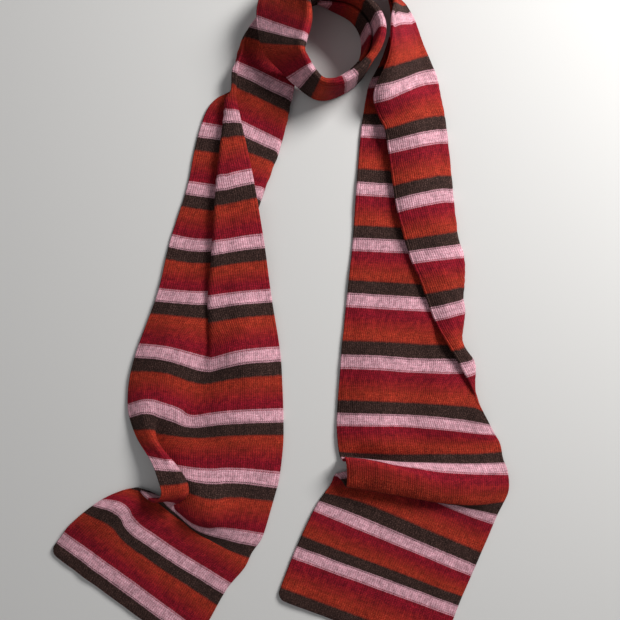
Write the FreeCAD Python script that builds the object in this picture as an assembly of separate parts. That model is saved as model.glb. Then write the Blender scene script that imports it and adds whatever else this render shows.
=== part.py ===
import FreeCAD, Part
import os

# A striped, fine-gauge knitted wool scarf, wrapped once into a neck loop and laid flat.
# Millimetres. +Z is up from the surface it lies on, +Y runs from the two ends towards the loop.
# The cloth is one double-layer knitted band. Every stripe of yarn is a closed solid of its own, and
# neighbouring stripes meet face to face on a shared row of stitches.

# ---- driving dimensions ----
CLOTH_THICKNESS = 3.0
LAYER_PITCH = 4.5            # from the middle of one folded layer to the middle of the next
FLAT = CLOTH_THICKNESS / 2   # height of the cloth's middle where it lies flat
SKIN_ABOVE_FLOOR = 1.0       # the cloth's upper side stays at least this high
END_BAND = 13.0              # brown border at each end
STRIPES = [("pink", 13.5), ("crimson", 15.0), ("orange", 15.5), ("brown", 13.0)]
REPEAT = sum(length for _, length in STRIPES)
REPEATS = 32
SCARF_LENGTH = END_BAND + REPEAT * REPEATS
FIRST_PINK = END_BAND + STRIPES[0][1] / 2   # distance from the left end to the first pink's middle
LAYOUT_CENTRE = FreeCAD.Vector(-29.3, 8.2, 0)

# regions of the scarf, named by how many colour repeats each takes, from the left end
REGIONS = [("left_end", 4), ("left_tail", 6), ("under_wrap", 3), ("front_wrap", 4),
           ("over_wrap", 3), ("right_tail", 7), ("right_end", 5)]

# repeats between which the cloth bends, twists or doubles back, and the steps taken there
TURNING = [(1.4, 3.6), (9.4, 20.6), (27.6, 29.6)]
TURNING_STEPS = 3

LEFT_END = (0 - FIRST_PINK) / REPEAT
RIGHT_END = (SCARF_LENGTH - FIRST_PINK) / REPEAT
LEFT_BAND_SEAM = LEFT_END + END_BAND / REPEAT
RIGHT_BAND_SEAM = RIGHT_END - END_BAND / REPEAT


def V(x, y, z):
    return FreeCAD.Vector(x, y, z)


# ---- rows across the cloth ----
# A row is six points across the width, from the first side edge to the second.

def spread(first, last, heights=(FLAT,) * 6):
    """Six points evenly spaced from one side edge to the other, at the given heights."""
    start, end = V(first[0], first[1], 0), V(last[0], last[1], 0)
    return [start + (end - start) * (i / 5) + V(0, 0, z) for i, z in enumerate(heights)]


def points(*places):
    return [V(*place) for place in places]


def band(foot, crest, up, stops=(0.35, 1.0, 2.0, 2.33, 2.66, 3.0)):
    """The cloth folded lengthwise in three layers between a foot and a crest.

    Each stop says where a point is: 0 is the crest on the inner layer, with the first edge tucked
    a little below it, 1 the fold at the foot, 2 the fold at the crest, and 3 the foot again on the
    outer layer.
    """
    foot, crest, up = V(*foot), V(*crest), V(*up).normalize()
    row = []
    for stop in stops:
        climb = abs(1 - stop) if stop < 2 else 3 - stop
        layer = stop - 1.5 if stop in (1, 2) else min(int(stop), 2) - 1
        row.append(foot + (crest - foot) * climb + up * (layer * LAYER_PITCH))
    return row


UP = (0, 0, 1)

# Rows by colour repeat: row 0 runs through the middle of the first pink stripe, row 1 the second.
ROWS = {
    # left end, lying flat and turned towards the lower left
    LEFT_END: spread((-250, -234), (-115, -329)),
    LEFT_BAND_SEAM: spread((-244, -224), (-110, -319)),
    0: spread((-240, -219), (-106, -313)),
    0.25: spread((-232, -208), (-99, -302), (3, 2, FLAT, FLAT, FLAT, FLAT)),
    1: points((-205, -186, 4), (-182, -190, 8), (-171, -209, 3), (-140, -231, FLAT),
              (-108, -250, FLAT), (-79, -267, FLAT)),
    # the bend, where the first edge buckles and laps over
    1.5: points((-182, -175, 2), (-162, -181, 3), (-143, -193, FLAT), (-116, -213, FLAT),
                (-91, -229, FLAT), (-62, -247, FLAT)),
    1.75: points((-168, -173, 2), (-153, -178, 3), (-133, -196, FLAT), (-106, -216, FLAT),
                 (-80, -228, FLAT), (-56, -234, FLAT)),
    2: points((-159, -178, 9), (-136, -184, 9), (-132, -191, 3), (-109, -208, 6),
              (-79, -214, 5), (-47, -222, FLAT)),
    2.25: points((-148, -182, 18), (-122, -180, 18), (-133, -186, 4), (-104, -202, 13),
                 (-72, -203, 8), (-42, -208, FLAT)),
    2.5: points((-139, -175, 23), (-115, -172, 22), (-131, -176, 4), (-98, -189, 16),
                (-68, -189, 9), (-38, -194, FLAT)),
    2.75: points((-143, -161, 21), (-119, -160, 20), (-135, -163, 4), (-99, -175, 14),
                 (-68, -175, 8), (-34, -180, FLAT)),
    3: points((-151, -146, 14), (-127, -150, 16), (-143, -152, 4), (-106, -160, 8),
              (-68, -160, 6), (-30, -165, FLAT)),
    3.5: points((-167, -124, 6), (-147, -126, 14), (-155, -128, 4), (-109, -132, 5),
                (-68, -130, 7), (-26, -131, FLAT)),
    # left tail, with a lengthwise valley that deepens into two folds
    4: points((-177, -99, 2), (-157, -93, 10), (-133, -100, 8), (-118, -109, 3),
              (-71, -104, 8), (-26, -103, FLAT)),
    4.5: points((-177, -70, FLAT), (-145, -69, 9), (-117, -79, 3), (-104, -81, 3),
                (-65, -75, 8), (-27, -74, FLAT)),
    5: points((-170, -40, FLAT), (-138, -43, 11), (-105, -53, FLAT), (-97, -54, 4),
              (-64, -46, 12), (-29, -43, 2)),
    6: points((-151, 15, FLAT), (-123, 12, 5), (-77, 10, 3), (-99, 7, 8), (-68, 11, 10),
              (-38, 14, 4)),
    7: points((-139, 69, FLAT), (-114, 64, 2), (-64, 64, 4), (-95, 59, 9), (-68, 64, 12),
              (-45, 67, 10)),
    8: points((-123, 122, FLAT), (-95, 118, FLAT), (-48, 114, 4), (-92, 122, 9),
              (-74, 127, 12), (-56, 131, 11)),
    9: points((-111, 181, FLAT), (-82, 176, FLAT), (-31, 161, 4), (-85, 191, 9),
              (-77, 192, 12), (-69, 191, 11)),
    9.5: points((-95, 213, FLAT), (-76, 207, 2), (-24, 188, 5), (-80, 215, 10),
                (-77, 215, 12), (-73, 214, 12)),
    10: points((-52, 228, FLAT), (-76, 240, 4), (-18, 214, 7), (-47, 229, 10),
               (-75, 242, 11), (-71, 240, 14)),
    # first turn behind the neck, close round the opening
    11: band((-58, 288, 6), (-8, 276, 6), UP),
    11.7: band((-12, 318, 7), (2, 290, 40), (-0.3, 0.7, 0.65)),
    12.3: band((30, 306, 2), (32, 296, 50), (0, 1, 0.1)),
    12.65: band((49, 292, 2), (51, 289, 50), (0.6, 0.8, 0)),
    # down the right, across the front and up the left
    13: band((57, 270, 2), (66, 270, 49), (1, -0.05, 0.15)),
    13.5: band((53, 246, 2), (60, 243, 48), (0.88, -0.47, 0.1)),
    14: band((38, 227, 2), (36, 220, 45), (0.55, -0.83, 0)),
    14.5: band((10, 216, 2), (15, 217, 41), (0, -1, 0.08)),
    15: band((-14, 229, 8), (3, 229, 42), (-0.6, -0.7, 0.35)),
    15.25: band((-28, 238, 18), (-1, 235, 45), (-0.6, -0.45, 0.65)),
    15.5: band((-42, 250, 23), (-5, 241, 48), (-0.5, -0.3, 0.8)),
    16: band((-50, 279, 23), (-3, 252, 47), (-0.45, 0, 0.9)),
    16.5: band((-46, 306, 23), (2, 272, 51), (-0.45, 0.3, 0.85)),
    # second turn behind the neck, outside the first
    17: band((-24, 332, 14), (-2, 306, 56), (-0.5, 0.7, 0.5)),
    17.5: band((4, 342, 7), (10, 320, 55), (-0.15, 0.9, 0.4)),
    18: band((32, 344, 5), (32, 322, 52), (0, 0.9, 0.4)),
    18.7: band((68, 334, 5), (60, 314, 49), (0.4, 0.8, 0.4), (0.38, 1.0, 2.0, 2.2, 2.4, 2.6)),
    19.3: band((90, 316, 4), (74, 300, 45), (0.8, 0.4, 0.4), (0.42, 1.0, 1.7, 2.0, 2.15, 2.35)),
    20: points((80, 275, 20), (102, 294, 5), (95, 288, 18), (86, 281, 32), (79, 274, 42),
               (78, 275, 46)),
    # right tail, folded over along its right side
    20.5: points((72, 252, 4), (113, 265, 5), (105, 259, 14), (94, 252, 24), (81, 244, 34),
                 (75, 242, 33)),
    21: points((60, 229, FLAT), (126, 235, 4), (107, 228, 12), (91, 219, 19), (74, 212, 22),
               (62, 211, 18)),
    21.35: points((56, 212, FLAT), (130, 214, 4), (113, 208, 13), (97, 201, 16), (82, 193, 13),
                  (69, 190, 8)),
    21.6: points((54, 200, FLAT), (133, 198, 4), (116, 193, 12), (101, 188, 17), (87, 183, 17),
                 (73, 180, 13)),
    22: points((51, 180, FLAT), (136, 174, 4), (120, 170, 10), (105, 166, 14), (91, 163, 13),
               (77, 161, 9)),
    23: points((46, 121, FLAT), (141, 114, 4), (126, 111, 10), (112, 108, 12), (98, 105, 11),
               (85, 102, 8)),
    24: points((42, 65, FLAT), (143, 60, 3), (149, 58, 7), (133, 55, 11), (115, 53, 10),
               (98, 51, 8)),
    24.5: points((39, 38, FLAT), (126, 33, 3), (151, 31, 5), (137, 28, 11), (123, 26, 10),
                 (109, 24, 8)),
    25: points((36, 10, FLAT), (113, 5, 4), (147, 5, 3), (150, 3, 8), (134, -2, 11),
               (119, -5, 8)),
    25.3: points((34, -8, FLAT), (98, -12, 6), (141, -13, 3), (149, -14, 7), (138, -18, 11),
                 (126, -21, 9)),
    25.5: points((33, -20, FLAT), (91, -23, 7), (131, -25, 3), (147, -26, 6), (142, -29, 11),
                 (132, -32, 10)),
    25.75: points((31, -36, FLAT), (79, -38, 9), (117, -40, 3), (147, -40, 4), (152, -42, 9),
                  (140, -46, 11)),
    26: points((30, -51, FLAT), (66, -52, 10), (105, -55, 4), (141, -56, 6), (160, -54, 6),
               (147, -59, 12)),
    27: points((26, -107, FLAT), (56, -107, 9), (89, -108, 5), (123, -110, 10), (153, -114, 6),
               (178, -118, 2)),
    27.5: points((27, -131, 2), (58, -130, 10), (89, -130, 8), (126, -131, 5), (158, -132, 4),
                 (185, -131, 2)),
    # the cross pleat: a roll that laps over the end and dies out towards the right
    27.8: points((29, -143, 2), (60, -145, 2), (92, -147, 2), (125, -147, 3), (158, -147, 4),
                 (187, -145, 3)),
    28: points((30, -144, 7), (61, -147, 7), (93, -150, 8), (125, -152, 8), (157, -153, 8),
               (190, -153, 5)),
    28.15: points((31, -144, 14), (62, -148, 14), (93, -153, 13), (125, -158, 13),
                  (157, -160, 11), (191, -161, 6)),
    28.3: points((33, -141, 20), (64, -145, 20), (95, -155, 18), (125, -165, 16),
                 (156, -168, 13), (191, -169, 7)),
    28.5: points((35, -155, 17), (65, -160, 18), (96, -168, 17), (126, -176, 14),
                 (156, -178, 12), (190, -177, 6)),
    28.65: points((35, -170, 10), (66, -175, 11), (96, -180, 11), (126, -185, 10),
                  (156, -187, 9), (187, -184, 5)),
    28.85: points((30, -164, 7), (63, -163, 7), (95, -174, 7), (125, -182, 6), (154, -190, 5),
                  (181, -196, 4)),
    29.1: points((24, -160, 3), (60, -153, 3), (91, -170, 3), (120, -184, 3), (148, -196, 3),
                 (177, -206, 3)),
    29.4: points((20, -169, FLAT), (57, -172, FLAT), (87, -184, FLAT), (116, -197, FLAT),
                 (144, -209, FLAT), (171, -220, 2)),
    # right end, lying flat and turned towards the lower left
    30: spread((6, -189), (157, -251)),
    31: spread((-15, -233), (140, -288)),
    RIGHT_BAND_SEAM: spread((-28, -266), (127, -322)),
    RIGHT_END: spread((-32, -277), (122, -334)),
}
STATIONS = sorted(ROWS)


def row_at(q):
    """The six points of the row at q repeats, smoothly between the given rows."""
    q = min(max(q, STATIONS[0]), STATIONS[-1])
    i = min(max(sum(1 for s in STATIONS if s <= q) - 1, 0), len(STATIONS) - 2)
    q1, q2 = STATIONS[i], STATIONS[i + 1]
    q0, q3 = STATIONS[max(i - 1, 0)], STATIONS[min(i + 2, len(STATIONS) - 1)]
    t = (q - q1) / (q2 - q1)
    blends = (2*t**3 - 3*t**2 + 1, t**3 - 2*t**2 + t, 3*t**2 - 2*t**3, t**3 - t**2)
    row = []
    for before, start, end, after in zip(ROWS[q0], ROWS[q1], ROWS[q2], ROWS[q3]):
        leave = (end - before) * ((q2 - q1) / (q2 - q0))
        arrive = (after - start) * ((q2 - q1) / (q3 - q1))
        row.append(start*blends[0] + leave*blends[1] + end*blends[2] + arrive*blends[3])
    return row


def capped(row):
    """The row with each inner point opened into two, one layer pitch apart, so that a fold there
    leaves room for the cloth's own thickness."""
    corners = [row[0]]
    for before, here, after in zip(row, row[1:], row[2:]):
        coming, going = (here - before).normalize(), (after - here).normalize()
        turn = coming + going
        if turn.Length < 1e-6:
            turn = V(0, 0, 1)
        along = turn.normalize() * (LAYER_PITCH / 2)
        corners += [here - along, here + along]
    return corners + [row[-1]]


def resting(point, lowest):
    """The point, lifted where it would sink below the surface that the scarf lies on."""
    return V(point.x, point.y, max(point.z, lowest))


def faces_of_cloth(q):
    """The corners of the cloth's face and of its back, across the row at q repeats."""
    step = 0.02
    corners = capped(row_at(q))
    ahead, behind = capped(row_at(q + step)), capped(row_at(q - step))
    upper, lower = [], []
    last = len(corners) - 1
    for i, corner in enumerate(corners):
        travel = (ahead[i] - behind[i])
        normals = []
        for a, b in ((max(i - 1, 0), max(i, 1)), (min(i, last - 1), min(i + 1, last))):
            normals.append((corners[b] - corners[a]).cross(travel).normalize())
        mitre = (normals[0] + normals[1]) * (1 / max(1 + normals[0].dot(normals[1]), 0.7))
        offset = mitre * (CLOTH_THICKNESS / 2)
        face, back = corner + offset, corner - offset
        upper.append(resting(face, 0 if face.z < back.z else SKIN_ABOVE_FLOOR))
        lower.append(resting(back, SKIN_ABOVE_FLOOR if face.z < back.z else 0))
    return upper, lower


def patch(a, b, c, d):
    """A four-sided piece of skin: one flat face where its corners allow, otherwise two triangles."""
    normal = (b - a).cross(d - a)
    if normal.Length > 1e-6 and abs(normal.normalize().dot(c - a)) < 1e-7:
        return [Part.Face(Part.makePolygon([a, b, c, d, a]))]
    return [Part.Face(Part.makePolygon([a, b, c, a])), Part.Face(Part.makePolygon([a, c, d, a]))]


def stripe(q_start, q_end, steps=1):
    """One closed solid of cloth between two rows."""
    rows = [faces_of_cloth(q_start + (q_end - q_start) * i / steps) for i in range(steps + 1)]
    faces = []
    for (upper, lower), (next_upper, next_lower) in zip(rows, rows[1:]):
        for i in range(len(upper) - 1):
            faces += patch(upper[i], upper[i + 1], next_upper[i + 1], next_upper[i])
            faces += patch(lower[i], lower[i + 1], next_lower[i + 1], next_lower[i])
        for i in (0, -1):
            faces += patch(upper[i], lower[i], next_lower[i], next_upper[i])
    for upper, lower in (rows[0], rows[-1]):
        for i in range(len(upper) - 1):
            faces += patch(upper[i], upper[i + 1], lower[i + 1], lower[i])
    shell = Part.Shell(faces)
    shell.sewShape()
    solid = Part.Solid(shell)
    if solid.Volume < 0:
        solid.reverse()
    solid.translate(-LAYOUT_CENTRE)
    return solid


def write(name, solids):
    shape = solids[0] if len(solids) == 1 else Part.makeCompound(solids)
    shape.exportStep("parts/" + name + ".step")


def stripes_by_region():
    """Every stripe's solid, grouped by region and yarn colour."""
    groups = {}
    q = LEFT_BAND_SEAM
    for region, repeats in REGIONS:
        for _ in range(repeats):
            for colour, length in STRIPES:
                q_next = q + length / REPEAT
                if q_next > RIGHT_BAND_SEAM + 1e-6:
                    q_next = RIGHT_END
                turns = any(first < q < last for first, last in TURNING)
                name = region + "_" + colour + "_stripes"
                groups.setdefault(name, []).append(stripe(q, q_next, TURNING_STEPS if turns else 1))
                q = q_next
    return groups


os.makedirs("parts", exist_ok=True)
groups = stripes_by_region()
right_band = groups["right_end_brown_stripes"].pop()
for name, solids in groups.items():
    write(name, solids)
write("left_end_band", [stripe(LEFT_END, LEFT_BAND_SEAM).removeSplitter()])
write("right_end_band", [right_band.removeSplitter()])
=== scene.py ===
import bmesh
import bpy
import math
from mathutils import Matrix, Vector, noise


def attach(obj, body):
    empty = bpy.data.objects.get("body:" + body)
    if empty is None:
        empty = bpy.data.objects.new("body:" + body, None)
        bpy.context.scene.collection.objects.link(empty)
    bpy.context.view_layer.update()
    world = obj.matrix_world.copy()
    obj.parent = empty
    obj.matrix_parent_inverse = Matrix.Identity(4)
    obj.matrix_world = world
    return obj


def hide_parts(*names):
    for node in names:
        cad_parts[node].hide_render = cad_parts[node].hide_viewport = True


# A striped, fine-gauge knitted wool scarf, wrapped once into a neck loop and laid flat.
# The cloth is laid out in millimetres on a layout of its own, x to the right, y towards the loop and
# z up, and comes into the frame, in metres, as its pieces are made.

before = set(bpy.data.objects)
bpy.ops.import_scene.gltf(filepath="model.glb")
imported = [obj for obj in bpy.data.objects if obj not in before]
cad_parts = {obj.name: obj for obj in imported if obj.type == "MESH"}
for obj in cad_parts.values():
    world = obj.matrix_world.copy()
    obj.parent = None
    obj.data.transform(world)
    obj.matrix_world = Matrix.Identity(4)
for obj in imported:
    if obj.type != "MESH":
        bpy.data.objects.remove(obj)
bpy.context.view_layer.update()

# ---- the knitted band ----
MM = 0.001
CLOTH_WIDTH = 164.0
CLOTH_THICKNESS = 3.0
LAYER_PITCH = 4.5            # from the middle of one folded layer to the middle of the next
FLAT = CLOTH_THICKNESS / 2   # height of the cloth's middle where it lies flat
END_BAND = 13.0              # brown border at each end
STRIPES = [("pink", 13.5), ("crimson", 15.0), ("orange", 15.5), ("brown", 13.0)]
REPEAT = sum(length for _, length in STRIPES)
REPEATS = 32
SCARF_LENGTH = END_BAND + REPEAT * REPEATS
FIRST_PINK = END_BAND + STRIPES[0][1] / 2   # distance from the left end to the first pink's middle
LAYOUT_CENTRE = Vector((-29.3, 8.2, 0))     # the frame's origin, in the layout

# regions of the scarf, named by how many colour repeats each takes, from the left end
REGIONS = [("left_end", 4), ("left_tail", 6), ("under_wrap", 3), ("front_wrap", 4),
           ("over_wrap", 3), ("right_tail", 7), ("right_end", 5)]

# Columns across the cloth: millimetres in from each side edge, then even gaps between the two.
SIDE_COLUMNS = [0.0, 0.25, 0.8, 1.6, 2.4, 3.2, 4.0, 5.2]
MIDDLE_GAPS = 58
# Rows along the cloth: the most between two rows, and millimetres in from each end of the scarf.
ROW_PITCH = 2.9
END_ROWS = [0.0, 0.25, 0.8, 1.6, 2.6]
END_ROW_GAP = 1.0            # the least distance from the last of those to the next row

EDGE_ROUNDING = 1.6          # the cloth's edges are round over this distance
EDGE_LEFT = 0.1              # the share of the thickness that is left at the very edge
CORNER_RADIUS = 8.0          # the four corners of the scarf, seen from above
SEAM_INSET = 3.2             # the line of stitches that runs along each side
SEAM_REACH = 0.9             # its groove fades out over this distance to either side
SEAM_DEPTH = 0.45

# How a row's line bends. A sharp fold is a half circle that is one layer pitch across. A gentle bend
# takes shares of the shorter run beside it: it is split in two, and starts before the first of them.
BEND_SPLIT = 0.15
BEND_REACH = 0.33
RUN_SHARE = 0.48             # the most of that run that one bend may take
HALF_CIRCLE_PULL = 4 / 3     # how far off a half circle's control points are, in radii
BEND_STEPS = 8
NO_LENGTH = 1e-6             # a length below this counts as none

# How the rows are evened out along the cloth.
RELAX_PASSES = 2
RELAX_SHARE = 0.5

# The unevenness of cloth that has been worn, washed and laid down by hand: broad swells and fine
# ones, as (size across the cloth, size along it, place in the noise), and how high they stand.
BROAD_SWELLS = (26.0, 60.0, 3.7)
FINE_SWELLS = (13.0, 17.0, 9.1)
BROAD_HEIGHT = 1.9
FINE_HEIGHT = 0.4
BROAD_RAISE = 0.1            # lifts the broad noise, of which only what is above zero shows

LEFT_END = (0 - FIRST_PINK) / REPEAT
RIGHT_END = (SCARF_LENGTH - FIRST_PINK) / REPEAT
LEFT_BAND_SEAM = LEFT_END + END_BAND / REPEAT
RIGHT_BAND_SEAM = RIGHT_END - END_BAND / REPEAT


# ---- how the cloth lies ----

def spread(first, last, heights=(FLAT,) * 6):
    """Six points evenly spaced from one side edge to the other, at the given heights."""
    start, end = Vector((*first, 0)), Vector((*last, 0))
    shares = [i / (len(heights) - 1) for i in range(len(heights))]
    return [start + (end - start) * share + Vector((0, 0, z)) for share, z in zip(shares, heights)]


def points(*places):
    """Six points given one by one."""
    return [Vector(place) for place in places]


def band(foot, crest, up, stops=(0.35, 1.0, 2.0, 2.33, 2.66, 3.0)):
    """The cloth folded lengthwise in three layers between a foot and a crest.

    Each stop says where a point is: 0 is the crest on the inner layer, with the first edge tucked
    a little below it, 1 the fold at the foot, 2 the fold at the crest, and 3 the foot again on the
    outer layer.
    """
    foot, crest, up = Vector(foot), Vector(crest), Vector(up).normalized()
    row = []
    for stop in stops:
        climb = abs(1 - stop) if stop < 2 else 3 - stop
        layer = stop - 1.5 if stop in (1, 2) else min(int(stop), 2) - 1
        row.append(foot + (crest - foot) * climb + up * (layer * LAYER_PITCH))
    return row


UP = (0, 0, 1)

# Rows by colour repeat: row 0 runs through the middle of the first pink stripe, row 1 the second.
ROWS = {
    # left end, lying flat and turned towards the lower left
    LEFT_END: spread((-250, -234), (-115, -329)),
    LEFT_BAND_SEAM: spread((-244, -224), (-110, -319)),
    0: spread((-240, -219), (-106, -313)),
    0.25: spread((-232, -208), (-99, -302), (3, 2, FLAT, FLAT, FLAT, FLAT)),
    1: points((-205, -186, 4), (-182, -190, 8), (-171, -209, 3), (-140, -231, FLAT),
              (-108, -250, FLAT), (-79, -267, FLAT)),
    # the bend, where the first edge buckles and laps over
    1.5: points((-182, -175, 2), (-162, -181, 3), (-143, -193, FLAT), (-116, -213, FLAT),
                (-91, -229, FLAT), (-62, -247, FLAT)),
    1.75: points((-168, -173, 2), (-153, -178, 3), (-133, -196, FLAT), (-106, -216, FLAT),
                 (-80, -228, FLAT), (-56, -234, FLAT)),
    2: points((-159, -178, 9), (-136, -184, 9), (-132, -191, 3), (-109, -208, 6),
              (-79, -214, 5), (-47, -222, FLAT)),
    2.25: points((-148, -182, 18), (-122, -180, 18), (-133, -186, 4), (-104, -202, 13),
                 (-72, -203, 8), (-42, -208, FLAT)),
    2.5: points((-139, -175, 23), (-115, -172, 22), (-131, -176, 4), (-98, -189, 16),
                (-68, -189, 9), (-38, -194, FLAT)),
    2.75: points((-143, -161, 21), (-119, -160, 20), (-135, -163, 4), (-99, -175, 14),
                 (-68, -175, 8), (-34, -180, FLAT)),
    3: points((-151, -146, 14), (-127, -150, 16), (-143, -152, 4), (-106, -160, 8),
              (-68, -160, 6), (-30, -165, FLAT)),
    3.5: points((-167, -124, 6), (-147, -126, 14), (-155, -128, 4), (-109, -132, 5),
                (-68, -130, 7), (-26, -131, FLAT)),
    # left tail, with a lengthwise valley that deepens into two folds
    4: points((-177, -99, 2), (-157, -93, 10), (-133, -100, 8), (-118, -109, 3),
              (-71, -104, 8), (-26, -103, FLAT)),
    4.5: points((-177, -70, FLAT), (-145, -69, 9), (-117, -79, 3), (-104, -81, 3),
                (-65, -75, 8), (-27, -74, FLAT)),
    5: points((-170, -40, FLAT), (-138, -43, 11), (-105, -53, FLAT), (-97, -54, 4),
              (-64, -46, 12), (-29, -43, 2)),
    6: points((-151, 15, FLAT), (-123, 12, 5), (-77, 10, 3), (-99, 7, 8), (-68, 11, 10),
              (-38, 14, 4)),
    7: points((-139, 69, FLAT), (-114, 64, 2), (-64, 64, 4), (-95, 59, 9), (-68, 64, 12),
              (-45, 67, 10)),
    8: points((-123, 122, FLAT), (-95, 118, FLAT), (-48, 114, 4), (-92, 122, 9),
              (-74, 127, 12), (-56, 131, 11)),
    9: points((-111, 181, FLAT), (-82, 176, FLAT), (-31, 161, 4), (-85, 191, 9),
              (-77, 192, 12), (-69, 191, 11)),
    9.5: points((-95, 213, FLAT), (-76, 207, 2), (-24, 188, 5), (-80, 215, 10),
                (-77, 215, 12), (-73, 214, 12)),
    10: points((-52, 228, FLAT), (-76, 240, 4), (-18, 214, 7), (-47, 229, 10),
               (-75, 242, 11), (-71, 240, 14)),
    # first turn behind the neck, close round the opening
    11: band((-58, 288, 6), (-8, 276, 6), UP),
    11.7: band((-12, 318, 7), (2, 290, 40), (-0.3, 0.7, 0.65)),
    12.3: band((30, 306, 2), (32, 296, 50), (0, 1, 0.1)),
    12.65: band((49, 292, 2), (51, 289, 50), (0.6, 0.8, 0)),
    # down the right, across the front and up the left
    13: band((57, 270, 2), (66, 270, 49), (1, -0.05, 0.15)),
    13.5: band((53, 246, 2), (60, 243, 48), (0.88, -0.47, 0.1)),
    14: band((38, 227, 2), (36, 220, 45), (0.55, -0.83, 0)),
    14.5: band((10, 216, 2), (15, 217, 41), (0, -1, 0.08)),
    15: band((-14, 229, 8), (3, 229, 42), (-0.6, -0.7, 0.35)),
    15.25: band((-28, 238, 18), (-1, 235, 45), (-0.6, -0.45, 0.65)),
    15.5: band((-42, 250, 23), (-5, 241, 48), (-0.5, -0.3, 0.8)),
    16: band((-50, 279, 23), (-3, 252, 47), (-0.45, 0, 0.9)),
    16.5: band((-46, 306, 23), (2, 272, 51), (-0.45, 0.3, 0.85)),
    # second turn behind the neck, outside the first
    17: band((-24, 332, 14), (-2, 306, 56), (-0.5, 0.7, 0.5)),
    17.5: band((4, 342, 7), (10, 320, 55), (-0.15, 0.9, 0.4)),
    18: band((32, 344, 5), (32, 322, 52), (0, 0.9, 0.4)),
    18.7: band((68, 334, 5), (60, 314, 49), (0.4, 0.8, 0.4), (0.38, 1.0, 2.0, 2.2, 2.4, 2.6)),
    19.3: band((90, 316, 4), (74, 300, 45), (0.8, 0.4, 0.4), (0.42, 1.0, 1.7, 2.0, 2.15, 2.35)),
    20: points((80, 275, 20), (102, 294, 5), (95, 288, 18), (86, 281, 32), (79, 274, 42),
               (78, 275, 46)),
    # right tail, folded over along its right side
    20.5: points((72, 252, 4), (113, 265, 5), (105, 259, 14), (94, 252, 24), (81, 244, 34),
                 (75, 242, 33)),
    21: points((60, 229, FLAT), (126, 235, 4), (107, 228, 12), (91, 219, 19), (74, 212, 22),
               (62, 211, 18)),
    21.35: points((56, 212, FLAT), (130, 214, 4), (113, 208, 13), (97, 201, 16), (82, 193, 13),
                  (69, 190, 8)),
    21.6: points((54, 200, FLAT), (133, 198, 4), (116, 193, 12), (101, 188, 17), (87, 183, 17),
                 (73, 180, 13)),
    22: points((51, 180, FLAT), (136, 174, 4), (120, 170, 10), (105, 166, 14), (91, 163, 13),
               (77, 161, 9)),
    23: points((46, 121, FLAT), (141, 114, 4), (126, 111, 10), (112, 108, 12), (98, 105, 11),
               (85, 102, 8)),
    24: points((42, 65, FLAT), (143, 60, 3), (149, 58, 7), (133, 55, 11), (115, 53, 10),
               (98, 51, 8)),
    24.5: points((39, 38, FLAT), (126, 33, 3), (151, 31, 5), (137, 28, 11), (123, 26, 10),
                 (109, 24, 8)),
    25: points((36, 10, FLAT), (113, 5, 4), (147, 5, 3), (150, 3, 8), (134, -2, 11),
               (119, -5, 8)),
    25.3: points((34, -8, FLAT), (98, -12, 6), (141, -13, 3), (149, -14, 7), (138, -18, 11),
                 (126, -21, 9)),
    25.5: points((33, -20, FLAT), (91, -23, 7), (131, -25, 3), (147, -26, 6), (142, -29, 11),
                 (132, -32, 10)),
    25.75: points((31, -36, FLAT), (79, -38, 9), (117, -40, 3), (147, -40, 4), (152, -42, 9),
                  (140, -46, 11)),
    26: points((30, -51, FLAT), (66, -52, 10), (105, -55, 4), (141, -56, 6), (160, -54, 6),
               (147, -59, 12)),
    27: points((26, -107, FLAT), (56, -107, 9), (89, -108, 5), (123, -110, 10), (153, -114, 6),
               (178, -118, 2)),
    27.5: points((27, -131, 2), (58, -130, 10), (89, -130, 8), (126, -131, 5), (158, -132, 4),
                 (185, -131, 2)),
    # the cross pleat: a roll that laps over the end and dies out towards the right
    27.8: points((29, -143, 2), (60, -145, 2), (92, -147, 2), (125, -147, 3), (158, -147, 4),
                 (187, -145, 3)),
    28: points((30, -144, 7), (61, -147, 7), (93, -150, 8), (125, -152, 8), (157, -153, 8),
               (190, -153, 5)),
    28.15: points((31, -144, 14), (62, -148, 14), (93, -153, 13), (125, -158, 13),
                  (157, -160, 11), (191, -161, 6)),
    28.3: points((33, -141, 20), (64, -145, 20), (95, -155, 18), (125, -165, 16),
                 (156, -168, 13), (191, -169, 7)),
    28.5: points((35, -155, 17), (65, -160, 18), (96, -168, 17), (126, -176, 14),
                 (156, -178, 12), (190, -177, 6)),
    28.65: points((35, -170, 10), (66, -175, 11), (96, -180, 11), (126, -185, 10),
                  (156, -187, 9), (187, -184, 5)),
    28.85: points((30, -164, 7), (63, -163, 7), (95, -174, 7), (125, -182, 6), (154, -190, 5),
                  (181, -196, 4)),
    29.1: points((24, -160, 3), (60, -153, 3), (91, -170, 3), (120, -184, 3), (148, -196, 3),
                 (177, -206, 3)),
    29.4: points((20, -169, FLAT), (57, -172, FLAT), (87, -184, FLAT), (116, -197, FLAT),
                 (144, -209, FLAT), (171, -220, 2)),
    # right end, lying flat and turned towards the lower left
    30: spread((6, -189), (157, -251)),
    31: spread((-15, -233), (140, -288)),
    RIGHT_BAND_SEAM: spread((-28, -266), (127, -322)),
    RIGHT_END: spread((-32, -277), (122, -334)),
}
STATIONS = sorted(ROWS)


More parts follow.
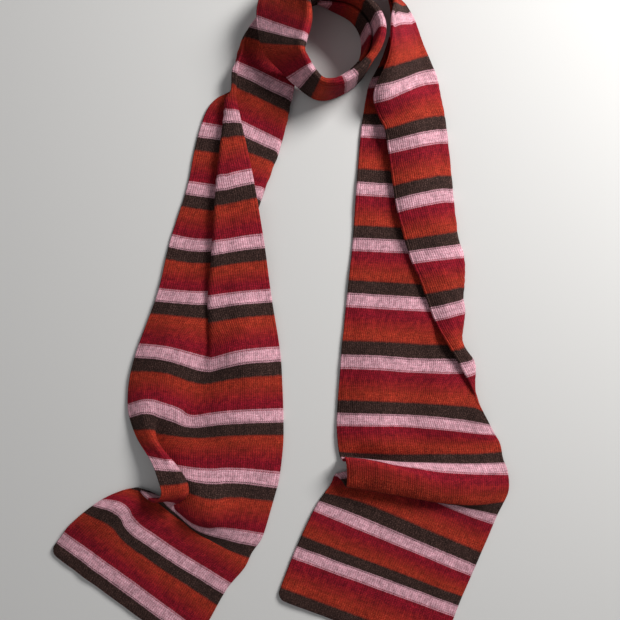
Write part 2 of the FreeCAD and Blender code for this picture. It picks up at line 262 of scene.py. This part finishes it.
def row_at(q):
    """The six points of the row at q repeats, smoothly between the given rows."""
    q = min(max(q, STATIONS[0]), STATIONS[-1])
    i = min(max(sum(1 for s in STATIONS if s <= q) - 1, 0), len(STATIONS) - 2)
    q1, q2 = STATIONS[i], STATIONS[i + 1]
    q0, q3 = STATIONS[max(i - 1, 0)], STATIONS[min(i + 2, len(STATIONS) - 1)]
    t = (q - q1) / (q2 - q1)
    blends = (2*t**3 - 3*t**2 + 1, t**3 - 2*t**2 + t, 3*t**2 - 2*t**3, t**3 - t**2)
    row = []
    for before, start, end, after in zip(ROWS[q0], ROWS[q1], ROWS[q2], ROWS[q3]):
        leave = (end - before) * ((q2 - q1) / (q2 - q0))
        arrive = (after - start) * ((q2 - q1) / (q3 - q1))
        row.append(start*blends[0] + leave*blends[1] + end*blends[2] + arrive*blends[3])
    return row


def bezier(start, leave, arrive, end):
    """Points along a curve from start to end, drawn towards the two points between them."""
    for i in range(BEND_STEPS + 1):
        t = i / BEND_STEPS
        yield (start * (1 - t)**3 + leave * (3 * t * (1 - t)**2)
               + arrive * (3 * t**2 * (1 - t)) + end * t**3)


def rounded(row):
    """The row's line with its bends rounded. A fold keeps room for the cloth's own thickness, and a
    gentle bend is spread over the runs beside it."""
    line = [row[0]]
    for before, here, after in zip(row, row[1:], row[2:]):
        run_in, run_out = (here - before).length, (after - here).length
        coming, going = (here - before).normalized(), (after - here).normalized()
        fold = min((going - coming).length / 2, 1.0)
        turn = coming + going
        along = turn.normalized() if turn.length > NO_LENGTH else Vector(UP)
        run = min(run_in, run_out)
        opened = LAYER_PITCH / 2 * fold + BEND_SPLIT * run * (1 - fold)
        reach = LAYER_PITCH / 2 * fold + BEND_REACH * run * (1 - fold)
        fits = min(1, RUN_SHARE * run / (opened + reach))
        opened, reach = opened * fits, reach * fits
        first, second = here - along * opened, here + along * opened
        start, end = first - coming * reach, second + going * reach
        pull = 1 + fold * (HALF_CIRCLE_PULL - 1)
        line += bezier(start, start + (first - start) * pull, end + (second - end) * pull, end)
    return line + [row[-1]]


def columns():
    """Distances from the first side edge at which the cloth has a column of points."""
    inner = SIDE_COLUMNS[-1]
    pitch = (CLOTH_WIDTH - 2 * inner) / MIDDLE_GAPS
    middle = [inner + pitch * i for i in range(1, MIDDLE_GAPS)]
    return SIDE_COLUMNS + middle + [CLOTH_WIDTH - x for x in reversed(SIDE_COLUMNS)]


def resampled(line, places):
    """Points along the line at the given places, which run from 0 to 1."""
    lengths = [0.0]
    for a, b in zip(line, line[1:]):
        lengths.append(lengths[-1] + (b - a).length)
    found, i = [], 0
    for place in places:
        want = place * lengths[-1]
        while i < len(lengths) - 2 and lengths[i + 1] < want:
            i += 1
        gap = max(lengths[i + 1] - lengths[i], NO_LENGTH)
        found.append(line[i].lerp(line[i + 1], min(max((want - lengths[i]) / gap, 0), 1)))
    return found


def stripe_bounds():
    """Every stripe as (node name, colour, first millimetre, last millimetre), from the left end."""
    stripes = [("left_end_band", "brown", 0.0, END_BAND)]
    along = END_BAND
    for region, repeats in REGIONS:
        for _ in range(repeats):
            for colour, length in STRIPES:
                stripes.append((region + "_" + colour + "_stripes", colour, along, along + length))
                along += length
    last = stripes.pop()
    stripes.append(("right_end_band", last[1], last[2], last[3]))
    return stripes


def row_places(first, last):
    """The rows of one stripe, evenly between its two boundaries, and closer at the scarf's ends."""
    count = math.ceil((last - first) / ROW_PITCH)
    places = [first + (last - first) * i / count for i in range(count + 1)]
    if first == 0.0:
        places = END_ROWS + [p for p in places if p > END_ROWS[-1] + END_ROW_GAP]
    if last == SCARF_LENGTH:
        places = [p for p in places if p < last - END_ROWS[-1] - END_ROW_GAP]
        places += [last - p for p in reversed(END_ROWS)]
    return places


COLUMNS = columns()
ACROSS = [c / CLOTH_WIDTH for c in COLUMNS]


def swell(across, along):
    """How much higher than its rows the cloth lies at one place."""
    broad, fine = (noise.noise(Vector((across / width, along / length, place)))
                   for width, length, place in (BROAD_SWELLS, FINE_SWELLS))
    return BROAD_HEIGHT * max(broad + BROAD_RAISE, 0.0) + FINE_HEIGHT * fine


def middle_surface(rows):
    """The cloth's middle, as one list of points for every row."""
    surface = []
    for along in rows:
        q = (along - FIRST_PINK) / REPEAT
        surface.append(resampled(rounded(row_at(q)), ACROSS))
    return surface


def relaxed(surface):
    """The surface evened out along its length, with its two end rows kept."""
    for _ in range(RELAX_PASSES):
        evened = [surface[0]]
        for rows in zip(surface, surface[1:], surface[2:]):
            evened.append([here.lerp((before + after) / 2, RELAX_SHARE)
                           for before, here, after in zip(*rows)])
        surface = evened + [surface[-1]]
    return surface


def round_corners(surface, rows):
    """Draws the scarf's four corners in to a small radius."""
    last_column = len(COLUMNS) - 1
    square = [list(row) for row in surface]
    for j, row in enumerate(square):
        from_end = min(rows[j], SCARF_LENGTH - rows[j])
        if from_end >= CORNER_RADIUS:
            continue
        inward = square[j + 1] if rows[j] < CORNER_RADIUS else square[j - 1]
        for i, across in enumerate(COLUMNS):
            from_side = min(across, CLOTH_WIDTH - across)
            if from_side >= CORNER_RADIUS:
                continue
            out = Vector((CORNER_RADIUS - from_side, CORNER_RADIUS - from_end))
            moved = out - out * (max(out) / out.length)
            middle = row[min(i + 1, last_column)] - row[max(i - 1, 0)]
            middle = middle.normalized() * (1 if across < CORNER_RADIUS else -1)
            back = (inward[i] - row[i]).normalized()
            surface[j][i] = row[i] + middle * moved.x + back * moved.y


def half_thickness(across, along):
    """Half the cloth's thickness: round at its edges, drawn in along the line of stitches."""
    half = CLOTH_THICKNESS / 2
    from_side, from_end = min(across, CLOTH_WIDTH - across), min(along, SCARF_LENGTH - along)
    for inset in (from_side, from_end):
        left = 1 - min(inset / EDGE_ROUNDING, 1)
        half *= math.sqrt(max(1 - left * left, EDGE_LEFT ** 2))
    half -= SEAM_DEPTH * max(1 - abs(from_side - SEAM_INSET) / SEAM_REACH, 0)
    return half


def skins(surface, rows):
    """The cloth's face and back, each as one list of points for every row, none of them sunk
    below the surface that the scarf lies on."""
    faces, backs = [], []
    last_row, last_column = len(surface) - 1, len(COLUMNS) - 1
    for j, row in enumerate(surface):
        face, back = [], []
        ahead, behind = surface[min(j + 1, last_row)], surface[max(j - 1, 0)]
        for i, here in enumerate(row):
            side = row[min(i + 1, last_column)] - row[max(i - 1, 0)]
            normal = side.cross(ahead[i] - behind[i]).normalized()
            half = normal * half_thickness(COLUMNS[i], rows[j])
            upper, lower = here + half, here - half
            lift = Vector((0, 0, max(-min(upper.z, lower.z), 0)))
            face.append(upper + lift)
            back.append(lower + lift)
        faces.append(face)
        backs.append(back)
    return faces, backs


# ---- the pieces ----

def into_frame(point):
    """A place in the layout, in metres in the frame."""
    return (point - LAYOUT_CENTRE) * MM


def add_stripe(bm, rows, first, last, faces, backs):
    """One closed stripe of cloth between two rows: a grid, extruded to make its other side, with
    sharp edges round the two rims where it is cut from the scarf."""
    grid = bmesh.new()
    x_cells, y_cells = len(COLUMNS) - 1, last - first
    bmesh.ops.create_grid(grid, x_segments=x_cells, y_segments=y_cells, size=1.0)
    column, row = grid.verts.layers.int.new("column"), grid.verts.layers.int.new("row")
    for v in grid.verts:
        v[column] = round((v.co.x + 1) / 2 * x_cells)
        v[row] = first + round((v.co.y + 1) / 2 * y_cells)
    for f in grid.faces:
        f.smooth = True
    made = bmesh.ops.extrude_face_region(grid, geom=grid.faces[:], use_keep_orig=True)
    other = {g for g in made["geom"] if isinstance(g, bmesh.types.BMVert)}
    for v in grid.verts:
        side = backs if v in other else faces
        v.co = into_frame(side[v[row]][v[column]])
    for e in grid.edges:
        ends = {v[row] for v in e.verts}
        e.smooth = ends != {first} and ends != {last}
    uv = grid.loops.layers.uv.new("knit")
    for f in grid.faces:
        for corner in f.loops:
            v = corner.vert
            corner[uv].uv = (COLUMNS[v[column]] * MM, rows[v[row]] * MM)
    bmesh.ops.recalc_face_normals(grid, faces=grid.faces[:])
    part = bpy.data.meshes.new("part")
    grid.to_mesh(part)
    grid.free()
    bm.from_mesh(part)
    bpy.data.meshes.remove(part)


def build_node(name, node, rows, faces, backs):
    """One object that holds all stripes of a CAD node."""
    bm = bmesh.new()
    for first, last in node["stripes"]:
        add_stripe(bm, rows, first, last, faces, backs)
    mesh = bpy.data.meshes.new(name + "_cloth")
    bm.to_mesh(mesh)
    bm.free()
    mesh.materials.append(YARNS[node["colour"]])
    piece = bpy.data.objects.new(name + "_cloth", mesh)
    bpy.context.scene.collection.objects.link(piece)
    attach(piece, "root")
    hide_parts(name)


def build_scarf():
    """The whole scarf: its cloth is laid out once, from end to end, and then shared out."""
    rows, nodes = [0.0], {}
    for name, colour, start, end in stripe_bounds():
        node = nodes.setdefault(name, {"colour": colour, "length": 0.0, "stripes": []})
        first = len(rows) - 1
        rows += row_places(start, end)[1:]
        node["length"] += end - start
        node["stripes"].append((first, len(rows) - 1))
    surface = relaxed(middle_surface(rows))
    for along, row in zip(rows, surface):
        for across, point in zip(COLUMNS, row):
            point.z += swell(across, along)
    round_corners(surface, rows)
    faces, backs = skins(surface, rows)
    for name, node in nodes.items():
        build_node(name, node, rows, faces, backs)


# ---- the yarns ----
# Sizes are in millimetres. The real stitches are about 1.6 by 1.2 and their fibres 0.02 across, too
# fine to show, so both are drawn as coarse as they need to be to be seen.
WALE = 2.2                   # from one column of stitches to the next
COURSE = 1.5                 # from one row of stitches to the next
SLANT = 0.8                  # how far a stitch's leg climbs for its distance from the column's edge
RELIEF = 0.5                 # how deep the stitches are
RELIEF_STRENGTH = 0.55
# How much of that each makes: a column's round back, the legs of its stitches, and loose fibres.
COLUMN_SHARE = 0.8
LEG_SHARE = 0.4
FIBRE_SHARE = 0.6
# The hollows between stitches get painted shade: the relief there and on top, and how bright the wool
# is painted at each.
HOLLOW_PAINTED_SHADE = (0.1, 1.0, 0.72, 1.10)

# Patterns in the wool, as (size across the cloth, size along it, detail).
FIBRES = (1.5, 1.0, 3.0)     # lighter and darker fibres spun into the yarn
YARN_ROWS = (22.0, 1.5, 1.0)         # rows of thicker and thinner yarn
MOTTLING = (4.5, 6.0, 2.0)           # patches where the knit is tighter or more felted
WEAR = (26.0, 26.0, 2.0)             # stretches that are more or less worn
DETAIL_ROUGHNESS = 0.6
# Where the fibre pattern starts to be a lighter or darker fibre, and where it is one entirely.
LIGHT_FIBRES = (0.50, 0.74)
DARK_FIBRES = (0.48, 0.26)
# The other patterns' low and high values, and how bright the wool is at each.
PATTERN_RANGE = (0.25, 0.75)
YARN_ROWS_SHADE = (0.84, 1.14)
MOTTLING_SHADE = (0.70, 1.26)
WEAR_SHADE = (0.88, 1.12)

# A row of the next stripe's yarn, seen inside a pink stripe.
THREAD_INSET = 1.15          # from the stripe's end to the middle of the row
THREAD_FADE = (0.20, 0.75)   # from the middle of the row to where it starts to fade, and is gone
DASHES = (0.40, 0.85, 0.30, 1.0)     # it sinks between the columns: their height, and how much shows

# Each yarn's colour, its lighter and darker fibres, and how strongly they show.
SHADES = {
    "pink": ("#cf96a2", "#eecbd3", "#9c6673", 0.65),
    "crimson": ("#7d0e1d", "#a82138", "#480811", 0.7),
    "orange": ("#962819", "#c04f33", "#56120d", 0.7),
    "brown": ("#301e1a", "#5f4741", "#150c0a", 0.8),
}
# Where each stripe meets the one before and the one after it: the other yarn, how strongly a row
# of it shows inside this stripe, and the millimetres over which the two run into each other.
MEETINGS = {
    "pink": (("brown", 0.95, 0.6), ("crimson", 0.95, 0.6)),
    "crimson": (("pink", 0.0, 0.6), ("orange", 0.0, 9.0)),
    "orange": (("crimson", 0.0, 9.0), ("brown", 0.0, 1.2)),
    "brown": (("orange", 0.0, 1.2), ("pink", 0.0, 0.6)),
}

MULTIPLY, ADD, SUBTRACT = {"operation": "MULTIPLY"}, {"operation": "ADD"}, {"operation": "SUBTRACT"}
MULTIPLY_ADD, PINGPONG = {"operation": "MULTIPLY_ADD"}, {"operation": "PINGPONG"}
SMOOTH = {"interpolation_type": "SMOOTHSTEP"}
COLOUR = {"data_type": "RGBA"}


def linear(hex_colour):
    """An sRGB hex colour as linear red, green, blue and alpha."""
    channels = [int(hex_colour[i:i + 2], 16) / 255 for i in (1, 3, 5)]
    return [c / 12.92 if c <= 0.04045 else ((c + 0.055) / 1.055) ** 2.4 for c in channels] + [1.0]


def add(tree, kind, settings, *values, **named):
    """A shader node with its settings. Its inputs are set or linked in order, or by name with
    underscores for spaces, and an input that is given a node takes that node's first output."""
    node = tree.nodes.new("ShaderNode" + kind)
    for name, value in settings.items():
        setattr(node, name, value)
    inputs = list(zip([socket for socket in node.inputs if socket.enabled], values))
    inputs += [(node.inputs[name.replace("_", " ")], value) for name, value in named.items()]
    for socket, value in inputs:
        if isinstance(value, bpy.types.Node):
            value = next(output for output in value.outputs if output.enabled)
        if isinstance(value, bpy.types.NodeSocket):
            tree.links.new(value, socket)
        else:
            socket.default_value = value
    return node


def knitted_wool(colour, start, length):
    """Woollen yarn in a fine-gauge knit, spun from fibres of several shades and worn soft: it is matt
    and slightly hairy, and stands in columns of small V-shaped stitches."""
    base, fleck, dark, marl = SHADES[colour]
    material = bpy.data.materials.new(colour + " marled wool knit")
    material.use_nodes = True
    tree = material.node_tree
    tree.nodes.clear()
    place = add(tree, "UVMap", {"uv_map": "knit"})
    axes = add(tree, "SeparateXYZ", {}, place)
    across = add(tree, "Math", MULTIPLY, axes.outputs["X"], 1 / MM)
    along = add(tree, "Math", MULTIPLY, axes.outputs["Y"], 1 / MM)
    patterns = []
    for size_across, size_along, detail in (FIBRES, YARN_ROWS, MOTTLING, WEAR):
        scale = (1 / (size_across * MM), 1 / (size_along * MM), 1.0)
        way = add(tree, "Mapping", {}, place, Scale=scale)
        patterns.append(add(tree, "TexNoise", {"noise_dimensions": "2D"}, way,
                            Scale=1.0, Detail=detail, Roughness=DETAIL_ROUGHNESS))
    fibres, yarn_rows, mottling, wear = patterns

    # stitches: a rounded column for each wale, crossed by the slanting legs of its stitches
    wale = add(tree, "Math", PINGPONG, across, WALE / 2)
    climb = add(tree, "Math", MULTIPLY, wale, SLANT)
    course = add(tree, "Math", SUBTRACT, along, climb)
    leg = add(tree, "Math", PINGPONG, course, COURSE / 2)
    turn = add(tree, "Math", MULTIPLY, wale, math.pi / WALE)
    rib = add(tree, "Math", {"operation": "SINE"}, turn)
    legs = add(tree, "Math", MULTIPLY, leg, LEG_SHARE / (COURSE / 2))
    stitch = add(tree, "Math", MULTIPLY_ADD, rib, COLUMN_SHARE, legs)

    # the yarn itself, with its lighter and darker fibres
    light_share = add(tree, "MapRange", {}, fibres, *LIGHT_FIBRES, 0.0, marl)
    dark_share = add(tree, "MapRange", {}, fibres, *DARK_FIBRES, 0.0, marl)
    cloth = add(tree, "Mix", COLOUR, light_share, linear(base), linear(fleck))
    cloth = add(tree, "Mix", COLOUR, dark_share, cloth, linear(dark))

    # the two ends of the stripe: both yarns show half each there, and run into each other
    phase = add(tree, "Math", SUBTRACT, along, END_BAND + start)
    phase = add(tree, "Math", {"operation": "FLOORED_MODULO"}, phase, REPEAT)
    to_end = add(tree, "Math", SUBTRACT, length, phase)
    dashes = add(tree, "MapRange", {}, rib, *DASHES)
    for distance, (other, strength, blend) in zip((phase, to_end), MEETINGS[colour]):
        wander = add(tree, "Math", ADD, fibres, mottling)
        ragged = add(tree, "Math", MULTIPLY_ADD, wander, -blend, distance)
        meeting = add(tree, "MapRange", SMOOTH, ragged, -blend, 0.0, 0.5, 0.0)
        off_row = add(tree, "Math", SUBTRACT, distance, THREAD_INSET)
        off_row = add(tree, "Math", {"operation": "ABSOLUTE"}, off_row)
        thread = add(tree, "MapRange", SMOOTH, off_row, *THREAD_FADE, strength, 0.0)
        thread = add(tree, "Math", MULTIPLY, thread, dashes)
        share = add(tree, "Math", {"operation": "MAXIMUM"}, thread, meeting)
        cloth = add(tree, "Mix", COLOUR, share, cloth, linear(SHADES[other][0]))

    # painted shade darkens the hollows between stitches, and no two patches are quite alike
    shade = add(tree, "MapRange", {}, stitch, *HOLLOW_PAINTED_SHADE)
    for pattern, brightness in ((yarn_rows, YARN_ROWS_SHADE), (mottling, MOTTLING_SHADE),
                                (wear, WEAR_SHADE)):
        patch = add(tree, "MapRange", {}, pattern, *PATTERN_RANGE, *brightness)
        shade = add(tree, "Math", MULTIPLY, shade, patch)
    shaded = add(tree, "VectorMath", {"operation": "SCALE"}, cloth, shade)

    height = add(tree, "Math", MULTIPLY_ADD, fibres, FIBRE_SHARE, stitch)
    bump = add(tree, "Bump", {}, Strength=RELIEF_STRENGTH, Distance=RELIEF * MM, Height=height)
    wool = add(tree, "BsdfPrincipled", {}, Base_Color=shaded, Roughness=0.92, IOR=1.45,
               Specular_IOR_Level=0.18, Normal=bump, Sheen_Weight=0.2, Sheen_Roughness=0.45,
               Sheen_Tint=linear(fleck))
    add(tree, "OutputMaterial", {}, wool)
    return material


def all_yarns():
    """The four yarns by colour, each told where its stripe lies in the repeat."""
    yarns, start = {}, 0.0
    for colour, length in STRIPES:
        yarns[colour] = knitted_wool(colour, start, length)
        start += length
    return yarns


YARNS = all_yarns()
build_scarf()


# ---- floor, light and camera ----
FLOOR_REACH = 40.0           # metres, so that its edge is never seen
SKY_STRENGTH = 0.22
CAMERA_PLACE = (0.0293, -0.0508, 0.6411)
CAMERA_TARGET = (0.0293, -0.0082, 0)         # the middle of the layout


def plain(name, hex_colour, roughness):
    """Matt emulsion paint, rolled smooth: one even colour, with hardly any gloss."""
    material = bpy.data.materials.new(name)
    material.use_nodes = True
    shader = material.node_tree.nodes["Principled BSDF"]
    shader.inputs["Base Color"].default_value = linear(hex_colour)
    shader.inputs["Roughness"].default_value = roughness
    return material


def add_floor():
    """A pale floor that reaches further than any view."""
    bm = bmesh.new()
    bmesh.ops.create_grid(bm, x_segments=1, y_segments=1, size=FLOOR_REACH)
    mesh = bpy.data.meshes.new("floor")
    bm.to_mesh(mesh)
    bm.free()
    mesh.materials.append(plain("pale floor", "#d2d0cd", 0.8))
    floor = bpy.data.objects.new("floor", mesh)
    bpy.context.scene.collection.objects.link(floor)


def aimed(thing, place, target):
    """Puts a light or a camera in its place, turned towards its target."""
    thing.location = place
    thing.rotation_euler = (Vector(target) - Vector(place)).to_track_quat("-Z", "Y").to_euler()
    bpy.context.scene.collection.objects.link(thing)


def add_light(name, place, target, watts, size):
    """A square soft light."""
    lamp = bpy.data.lights.new(name, "AREA")
    lamp.energy = watts
    lamp.size = size
    aimed(bpy.data.objects.new(name, lamp), place, target)


add_floor()
add_light("window light", place=(0.98, 0.80, 0.82), target=(0.05, 0.05, 0), watts=29, size=0.55)
add_light("fill light", place=(-0.9, -0.6, 1.5), target=(0, 0, 0), watts=3, size=1.6)
world = bpy.data.worlds.new("studio")
world.use_nodes = True
sky = world.node_tree.nodes["Background"]
sky.inputs["Color"].default_value = linear("#e8ebf0")
sky.inputs["Strength"].default_value = SKY_STRENGTH
bpy.context.scene.world = world
bpy.context.scene.view_settings.view_transform = "Standard"

lens = bpy.data.cameras.new("camera")
lens.lens = 37.74
lens.sensor_width = 36.0
lens.clip_start = 0.01
camera = bpy.data.objects.new("camera", lens)
aimed(camera, CAMERA_PLACE, CAMERA_TARGET)
bpy.context.scene.camera = camera
